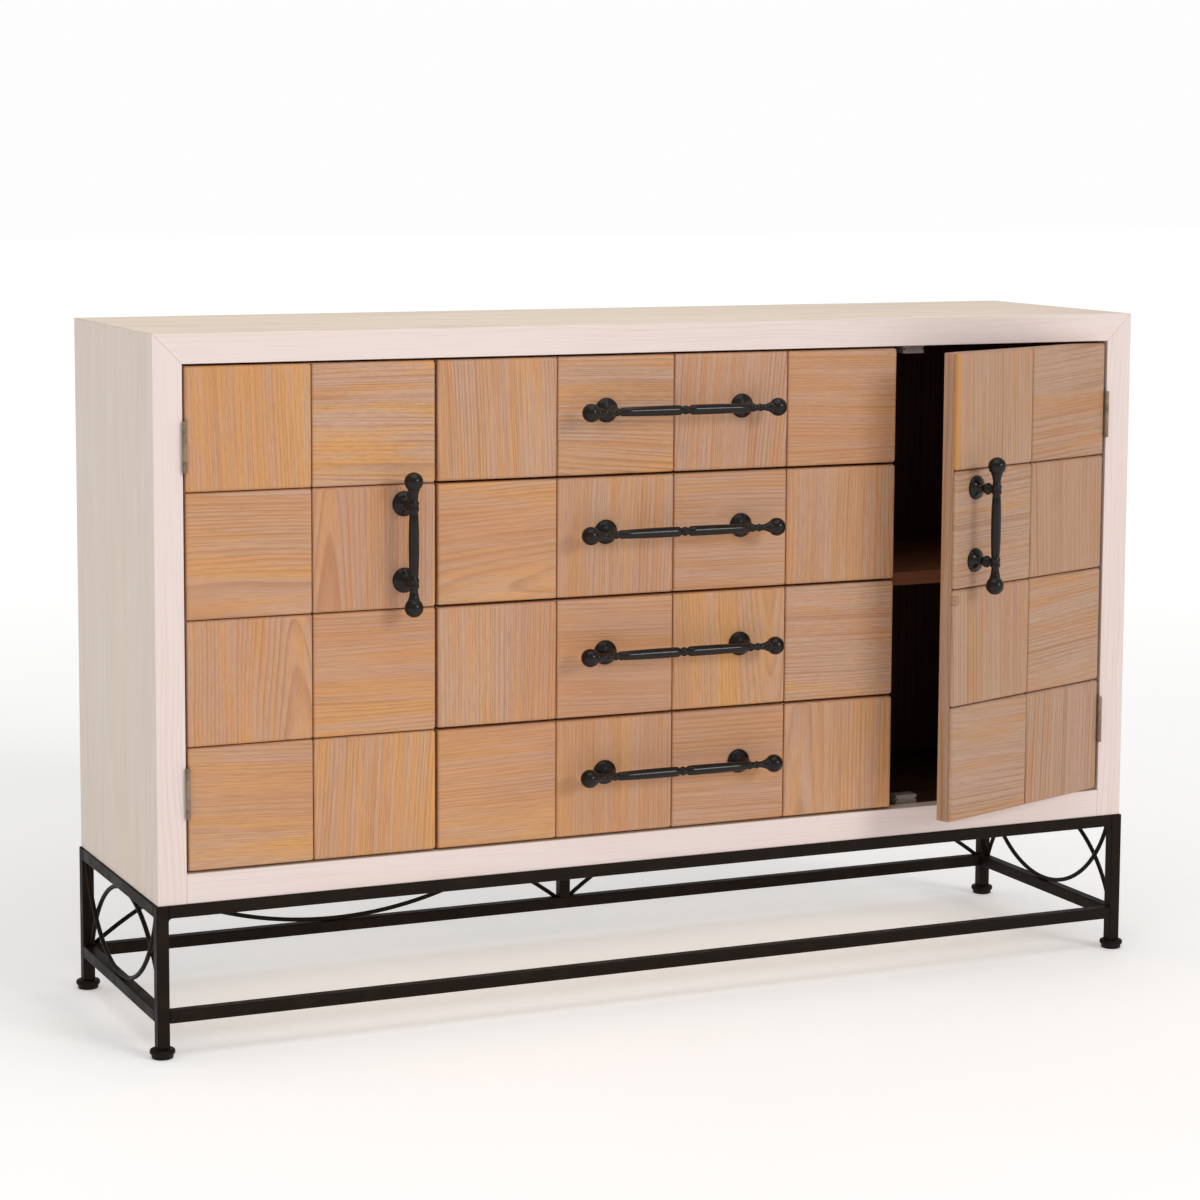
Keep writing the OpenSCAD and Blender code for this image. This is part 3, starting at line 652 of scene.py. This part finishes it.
class SIDEBOARD_OT_fronts(Operator):
    """Boards and rounded tiles of the doors and the drawers"""
    bl_idname = "sideboard.fronts"
    bl_label = "Fronts"

    def execute(self, context):
        wood = context.scene.sideboard_wood
        pine, stain = brushed_pine(wood), groove_stain()
        for side, columns in (("left", LEFT_DOOR_COLUMNS), ("right", RIGHT_DOOR_COLUMNS)):
            low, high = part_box("left_door_board")
            if side == "right":
                low, high = Vector((-high.x, low.y, low.z)), Vector((-low.x, high.y, high.z))
            swing = SWING if side == "right" else Matrix.Identity(4)
            self.front(wood, side + "_door", "board", low, high, columns, range(ROWS), swing,
                       [pine, stain])
        for row in range(ROWS):
            low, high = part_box(f"drawer_{row + 1}_front")
            self.front(wood, f"drawer_{row + 1}", "front", low, high, DRAWER_COLUMNS, [row],
                       Matrix.Identity(4), [pine, stain])
        return {"FINISHED"}

    def front(self, wood, body, kind, low, high, columns, rows, swing, materials):
        """A door's or drawer's board, stained where its tiles' grooves show it."""
        bm = wood_bmesh()
        lay_board(bm, low, high, FRONT_ROUND)
        for face in bm.faces:
            if face.normal.y < -0.9 and face.calc_area() > 0.01:
                face.material_index = 1
        # The right door's board: greyer, with the high wash that also paints shade on it.
        tint, wash_and_shade = (-0.2, 0.9) if columns == RIGHT_DOOR_COLUMNS else (0.4, 0.5)
        mark_grain(bm, bm.verts, low, high, kind == "board", body, tint, wash_and_shade)
        bmesh.ops.transform(bm, matrix=swing, verts=bm.verts)
        finish_piece(f"{body}_{kind}_panel", bm, body, materials,
                     [f"{body}_{kind}"])
        bm = wood_bmesh()
        half = wood.tile_gap / 2
        free_sides = {LEFT_DOOR_COLUMNS[-1]: 1, RIGHT_DOOR_COLUMNS[0]: -1}
        for column in columns:
            for row in rows:
                x = [-OPEN_X + (column + k) * COLUMN_W for k in (0, 1)]
                z = [OPEN_Z[1] - (row + k) * ROW_H for k in (1, 0)]
                near = Vector((low.x if column == columns[0] else x[0] + half, FRONT_Y,
                               low.z if row == rows[-1] else z[0] + half))
                far = Vector((high.x if column == columns[-1] else x[1] - half, BOARD_Y,
                              high.z if row == rows[0] else z[1] - half))
                self.tile(wood, bm, near, far, row, column, free_sides.get(column, 0))
        bmesh.ops.transform(bm, matrix=swing, verts=bm.verts)
        finish_piece(f"{body}_tile_field", bm, body, materials[:1],
                     [f"{body}_tiles"], weld=False)

    def tile(self, wood, bm, near, far, row, column, free_edge):
        """A tile rounded at its front, most at the side (-1 or 1) that is a free edge."""
        before = set(bm.verts)
        lay_board(bm, near, far, 0)
        made = [v for v in bm.verts if v not in before]
        for axis, rounding in ((2, wood.tile_round), (0, wood.tile_round * SIDE_SHARE)):
            for place, free in ((near, -1), (far, 1)):
                rim = [e for e in {e for v in made for e in v.link_edges}
                       if all(abs(v.co[axis] - place[axis]) < 1e-6 for v in e.verts)
                       and min(v.co.y for v in e.verts) < far.y - 1e-6
                       and any(v.co.y < far.y - 1e-6 for v in e.verts)
                       and not (axis == 2 and max(v.co.y for v in e.verts) > near.y + 1e-6)]
                size = FREE_ROUND if axis == 0 and free == free_edge else rounding
                round_edges(bm, rim, size, 5)
                made = [v for v in bm.verts if v not in before]
        draw = random.Random(f"tile {row} {column}")
        tint, wash_and_shade = draw.uniform(0.0, 0.38), draw.uniform(0.2, 0.65)
        if column in RIGHT_DOOR_COLUMNS:
            # Right door tiles: greyer wash, plus painted shade that grows row by row downward.
            tint, wash_and_shade = tint - 0.3, min(1.0, wash_and_shade + 0.4 + 0.12 * row)
        else:
            tint += 0.42 if column in LEFT_DOOR_COLUMNS else 0.1
            wash_and_shade -= 0.05 * row
        mark_grain(bm, made, near, far, (row + column) % 2 == 0, f"tile {row} {column}",
                   tint, wash_and_shade, (near.y, far.y - near.y),
                   (near.x + KNOT_IN, far.z - KNOT_DOWN) if (row, column) == KNOT_TILE else None,
                   near.x if (row, column) == GOLDEN_TILE else None)


class SIDEBOARD_OT_drawer_boxes(Operator):
    """Sides, backs and bottoms of the drawers"""
    bl_idname = "sideboard.drawer_boxes"
    bl_label = "Drawer boxes"

    def execute(self, context):
        plain = stained_wood("drawer_wood", tone(198, 162, 120), tone(172, 132, 90), 0.5)
        for k in DRAWERS:
            low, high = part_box(f"drawer_{k}_box")
            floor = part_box(f"drawer_{k}_bottom")
            back = high.y - floor[1].y
            bm = bmesh.new()
            for x in ((low.x, floor[0].x), (floor[1].x, high.x)):
                lay_board(bm, (x[0], low.y, low.z), (x[1], high.y, high.z), BOX_ROUND)
            lay_board(bm, (floor[0].x, high.y - back, low.z),
                      (floor[1].x, high.y, high.z - BACK_LOWER), BOX_ROUND)
            finish_piece(f"drawer_{k}_sides", bm, f"drawer_{k}", [plain],
                         [f"drawer_{k}_box"], weld=False)
            dress(f"drawer_{k}_bottom", plain)
        return {"FINISHED"}


class SIDEBOARD_OT_handles(Operator):
    """Cast bar handles with ball ends on two posts"""
    bl_idname = "sideboard.handles"
    bl_label = "Handles"

    # millimetres: bar to door, radius of a ball, and from a post to the ball's centre
    RISE, BALL, DRAWER_END, DOOR_END = 34, 12, 36, 31
    POST = [(0, 16), (1.4, 16), (2.8, 15.4), (4.8, 13.2), (6.6, 10), (8.4, 7), (10, 5.6),
            (11.6, 4.8), (13.4, 4.6), (15, 5.2), (16.4, 6.8), (18.2, 7.8), (20.2, 8),
            (22.2, 7.4), (23.8, 6), (25.6, 5), (28, 5), (RISE, 5)]

    def drawer_grip(self, h):
        """Outline of half the bar, as (distance, radius), with its posts h from the middle."""
        return [(0, 6), (1.8, 5.8), (3.2, 5), (4.4, 4.5), (5.4, 4.6), (6.2, 5.3), (7.4, 6),
                (9, 6.5), (14, 6.7), (h * 0.5, 6.6), (h * 0.78, 6.1), (h - 6.5, 5.7),
                (h - 5.2, 5.3), (h - 4.4, 4.3), (h - 3.2, 4.3), (h - 2, 5.1), (h, 5.6),
                (h + 2, 5.1), (h + 3.4, 4.2), (h + 7.4, 4), (h + 8.8, 4.7), (h + 10.4, 5.3),
                (h + 12, 4.7), (h + 13.2, 4.1), (h + 16.5, 4.1), (h + 20, 4.9), (h + 24, 6.4),
                (h + 28, 8.4), (h + self.DRAWER_END, 2)]

    def door_grip(self, h):
        return [(0, 6.7), (h * 0.3, 6.6), (h * 0.55, 6.3), (h * 0.78, 5.7), (h - 7, 5.3),
                (h - 5.8, 6.2), (h - 4, 6.9), (h - 2, 6.4), (h, 6.2), (h + 2, 6.4),
                (h + 4, 6.9), (h + 5.8, 6.2), (h + 7, 5.1), (h + 12, 5.5), (h + 17, 6.4),
                (h + 23, 8.2), (h + self.DOOR_END, 2)]

    def handle(self, name, node, body, grip, over, along, place, material):
        low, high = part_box(node)
        half = (high[along] - low[along]) / 2 / MM - self.BALL - over
        bm = bmesh.new()
        for side in (-1, 1):
            turned(bm, self.POST, Matrix.Translation((side * half * MM, 0, 0))
                   @ Matrix.Rotation(math.pi / 2, 4, "X"))
            made = bmesh.ops.create_uvsphere(bm, u_segments=32, v_segments=20,
                                             radius=self.BALL * MM)["verts"]
            bmesh.ops.translate(bm, vec=(side * (half + over) * MM, -self.RISE * MM, 0),
                                verts=made)
            smooth_faces(made)
        line = grip(half)
        turned(bm, [(-a, r) for a, r in reversed(line)] + line[1:],
               Matrix.Translation((0, -self.RISE * MM, 0)) @ Matrix.Rotation(math.pi / 2, 4, "Y"))
        bmesh.ops.transform(bm, matrix=place, verts=bm.verts)
        finish_piece(name, bm, body, [material], [node])

    def execute(self, context):
        black = cast_black(context.scene.sideboard_metal)
        for k in DRAWERS:
            node = f"drawer_{k}_handle"
            low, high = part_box(node)
            place = Matrix.Translation(((low.x + high.x) / 2, FRONT_Y, (low.z + high.z) / 2))
            self.handle(f"drawer_{k}_pull", node, f"drawer_{k}", self.drawer_grip,
                        self.DRAWER_END, 0, place, black)
        low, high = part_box("left_door_handle")
        for side, swing in ((-1, Matrix.Identity(4)), (1, SWING)):
            body = "left_door" if side < 0 else "right_door"
            centre = Vector((-side * (low.x + high.x) / 2, FRONT_Y, (low.z + high.z) / 2))
            place = swing @ Matrix.Translation(centre) @ Matrix.Rotation(math.pi / 2, 4, "Y")
            self.handle(body + "_pull", body + "_handle", body, self.door_grip,
                        self.DOOR_END, 2, place, black)
        return {"FINISHED"}


class SIDEBOARD_OT_hinges(Operator):
    """Leaves, pins and screws of the door hinges"""
    bl_idname = "sideboard.hinges"
    bl_label = "Hinges"

    def execute(self, context):
        aged = plated("aged_steel", tone(150, 132, 112), tone(116, 98, 78), 0.45, 0.5)
        for name in ("frame_hinge_leaves", "hinge_pins", "frame_hinge_screws",
                     "left_door_hinge_leaves", "left_door_hinge_screws",
                     "right_door_hinge_leaves", "right_door_hinge_screws"):
            dress(name, aged)
        return {"FINISHED"}


class SIDEBOARD_OT_steel_frame(Operator):
    """Square tubes, feet, bent rods and screw heads under the case"""
    bl_idname = "sideboard.steel_frame"
    bl_label = "Steel frame"

    def tubes(self, name, runs, material, rounding):
        bm = bmesh.new()
        for low, high in runs:
            lay_board(bm, low, high, rounding, 3)
        finish_piece(name + "_tubes", bm, "case_and_frame", [material],
                     [name], weld=False)

    def rods(self, name, arcs, material, metal):
        """Rods bent between the stretchers and the rails, to one side of the tubes' middle."""
        bm = bmesh.new()
        low, high = STRETCHER_TOP, RAIL_Z
        side_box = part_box("left_side_arcs")
        radius = (side_box[1].x - side_box[0].x - 2 * ROD_CLEAR) / 4
        for centre, half, turn, up, shift in arcs:
            reach, rise = half - radius, high - low - radius
            bend = (reach * reach + rise * rise) / (2 * rise)
            angle = math.asin(reach / bend) + ROD_SINKS
            place = Matrix.Translation(centre) @ Matrix.Rotation(turn, 4, "Z") @ \
                Matrix.Translation((0, shift * (radius + ROD_CLEAR), 0))
            if up:
                place = place @ Matrix.Translation((0, 0, low + high)) @ \
                    Matrix.Rotation(math.pi, 4, "Y")
            swept_rod(bm, radius, bend, angle, metal.rod_steps,
                      place @ Matrix.Translation((0, 0, low + radius + bend)))
        finish_piece(name.replace("arcs", "rods"), bm, "case_and_frame",
                     [material], [name], weld=False)

    def execute(self, context):
        metal = context.scene.sideboard_metal
        coat = powder_coat(metal)
        h = TUBE / 2
        corners = [(x, y) for x in (-LEG_X, LEG_X) for y in (-LEG_Y, LEG_Y)]
        self.tubes("legs", [((x - h, y - h, LEGS[0].z), (x + h, y + h, LEGS[1].z))
                            for x, y in corners], coat, metal.tube_round)
        for name in ("top_rails", "lower_stretchers"):
            low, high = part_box(name)
            along = [((-LEG_X + h, y - h, low.z), (LEG_X - h, y + h, high.z))
                     for y in (-LEG_Y, LEG_Y)]
            over = [((x - h, -LEG_Y + h, low.z), (x + h, LEG_Y - h, high.z))
                    for x in (-LEG_X, LEG_X)]
            self.tubes(name, along + over, coat, metal.tube_round)
        self.tubes("centre_post", [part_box("centre_post")], coat, metal.tube_round)
        half = LEG_Y - h
        for side, name in ((-1, "left_side_arcs"), (1, "right_side_arcs")):
            self.rods(name, [((side * LEG_X, 0, 0), half, math.pi / 2, False, 1),
                             ((side * LEG_X, 0, 0), half, math.pi / 2, True, -1)], coat, metal)
        half = (LEG_X - TUBE) / 2
        arcs = [((side * (h + half), LEG_Y, 0), half, 0, True, 1) for side in (-1, 1)]
        arcs.append(((-h - half, LEG_Y, 0), half, 0, False, -1))
        self.rods("back_arcs", arcs, coat, metal)
        r, tall = (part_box("feet")[1].y - LEG_Y) / MM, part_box("feet")[1].z / MM
        bm = bmesh.new()
        for x, y in corners:
            turned(bm, [(0, r - 4), (0.8, r - 2.6), (tall * 0.42, r - 2), (tall * 0.52, r - 0.5),
                        (tall * 0.62, r), (tall * 0.82, r), (tall * 0.94, r - 0.7),
                        (tall, r - 2)], Matrix.Translation((x, y, 0)), 48)
        finish_piece("round_feet", bm, "case_and_frame", [coat], ["feet"])
        dress("bolts_and_welds", coat)
        return {"FINISHED"}


SENSOR = 36                     # millimetres
FLOOR_HALF = 30                 # metres
KEY_FROM = (1.0, -1.9, 0.85)
OVERHEAD_FROM, OVERHEAD_SIZE = (-0.3, -0.8, 3.0), 2.4
SEEN_WHITE = 0.985              # brightness of the surroundings behind the object


class SIDEBOARD_OT_stage(Operator):
    """Pale floor, soft studio lights and the camera"""
    bl_idname = "sideboard.stage"
    bl_label = "Stage"

    def lamp(self, name, kind, place, power, **settings):
        lamp = bpy.data.lights.new(name, kind)
        lamp.energy = power
        for setting, value in settings.items():
            setattr(lamp, setting, value)
        made = bpy.data.objects.new(name, lamp)
        made.location = place
        if kind == "SUN":
            made.rotation_mode = "QUATERNION"
            made.rotation_quaternion = Vector(place).to_track_quat("Z", "Y")
        bpy.context.scene.collection.objects.link(made)

    def execute(self, context):
        scene, stage = context.scene, context.scene.sideboard_stage
        heading, dip, roll = stage.camera_turn
        ahead = Vector((math.sin(heading) * math.cos(dip), math.cos(heading) * math.cos(dip),
                        -math.sin(dip)))
        right = ahead.cross(Vector((0, 0, 1))).normalized()
        up = right.cross(ahead)
        right, up = (math.cos(roll) * right + math.sin(roll) * up,
                     math.cos(roll) * up - math.sin(roll) * right)
        camera = bpy.data.cameras.new("camera")
        camera.lens, camera.sensor_width, camera.shift_y = stage.lens, SENSOR, stage.shift
        made = bpy.data.objects.new("camera", camera)
        made.matrix_world = Matrix.Translation(Vector(stage.camera_place)) @ \
            Matrix((right, up, -ahead)).transposed().to_4x4()
        scene.collection.objects.link(made)
        scene.camera = made

        bm = bmesh.new()
        bmesh.ops.create_grid(bm, x_segments=1, y_segments=1, size=FLOOR_HALF)
        mesh = bpy.data.meshes.new("floor")
        bm.to_mesh(mesh)
        bm.free()
        f = Finish("pale_floor", Roughness=0.7, Emission_Strength=stage.floor_glow)
        mesh.materials.append(f.feed(
            Base_Color=f.ramp(f.noise(f.place(), (2, 2, 2), 2.0),
                              [(0.3, tone(249, 248, 247)), (0.7, tone(251, 250, 249))]),
            Emission_Color=f.greys(f.length(f.place()) * 0.1, (0.1, 0.5), (0.5, 1))))
        floor = bpy.data.objects.new("floor", mesh)
        scene.collection.objects.link(floor)

        self.lamp("key", "SUN", KEY_FROM, stage.key_power, angle=stage.key_soft)
        self.lamp("overhead", "AREA", OVERHEAD_FROM, stage.overhead, shape="SQUARE",
                  size=OVERHEAD_SIZE)
        world = bpy.data.worlds.new("white_room")
        world.use_nodes = True
        nodes, links = world.node_tree.nodes, world.node_tree.links
        seen, lit = nodes["Background"], nodes.new("ShaderNodeBackground")
        seen.inputs["Color"].default_value = lit.inputs["Color"].default_value = (1, 1, 1, 1)
        seen.inputs["Strength"].default_value = SEEN_WHITE
        lit.inputs["Strength"].default_value = stage.sky
        path, both = nodes.new("ShaderNodeLightPath"), nodes.new("ShaderNodeMixShader")
        links.new(path.outputs["Is Camera Ray"], both.inputs[0])
        links.new(lit.outputs[0], both.inputs[1])
        links.new(seen.outputs[0], both.inputs[2])
        links.new(both.outputs[0], nodes["World Output"].inputs["Surface"])
        scene.world = world
        scene.view_settings.view_transform = "Standard"
        return {"FINISHED"}


OPERATORS = (SIDEBOARD_OT_stage, SIDEBOARD_OT_case, SIDEBOARD_OT_inside, SIDEBOARD_OT_fronts,
             SIDEBOARD_OT_drawer_boxes, SIDEBOARD_OT_handles, SIDEBOARD_OT_hinges,
             SIDEBOARD_OT_steel_frame)


class SIDEBOARD_PT_panel(Panel):
    """Sideboard settings and the pieces to make"""
    bl_idname = "SIDEBOARD_PT_panel"
    bl_label = "Sideboard"
    bl_space_type = "VIEW_3D"
    bl_region_type = "UI"
    bl_category = "Sideboard"

    def draw(self, context):
        for group in (context.scene.sideboard_wood, context.scene.sideboard_metal,
                      context.scene.sideboard_stage):
            box = self.layout.box()
            for name in group.bl_rna.properties.keys():
                if name not in ("rna_type", "name"):
                    box.prop(group, name)
        for operator in OPERATORS:
            self.layout.operator(operator.bl_idname)


GROUPS = {"sideboard_wood": SideboardWood, "sideboard_metal": SideboardMetal,
          "sideboard_stage": SideboardStage}


def register():
    for made in (*GROUPS.values(), *OPERATORS, SIDEBOARD_PT_panel):
        bpy.utils.register_class(made)
    for name, group in GROUPS.items():
        setattr(bpy.types.Scene, name, PointerProperty(type=group))


def unregister():
    for name in GROUPS:
        delattr(bpy.types.Scene, name)
    for made in reversed((*GROUPS.values(), *OPERATORS, SIDEBOARD_PT_panel)):
        bpy.utils.unregister_class(made)


def main():
    register()
    for operator in OPERATORS:
        group, name = operator.bl_idname.split(".")
        getattr(getattr(bpy.ops, group), name)()


if __name__ == "__main__":
    main()
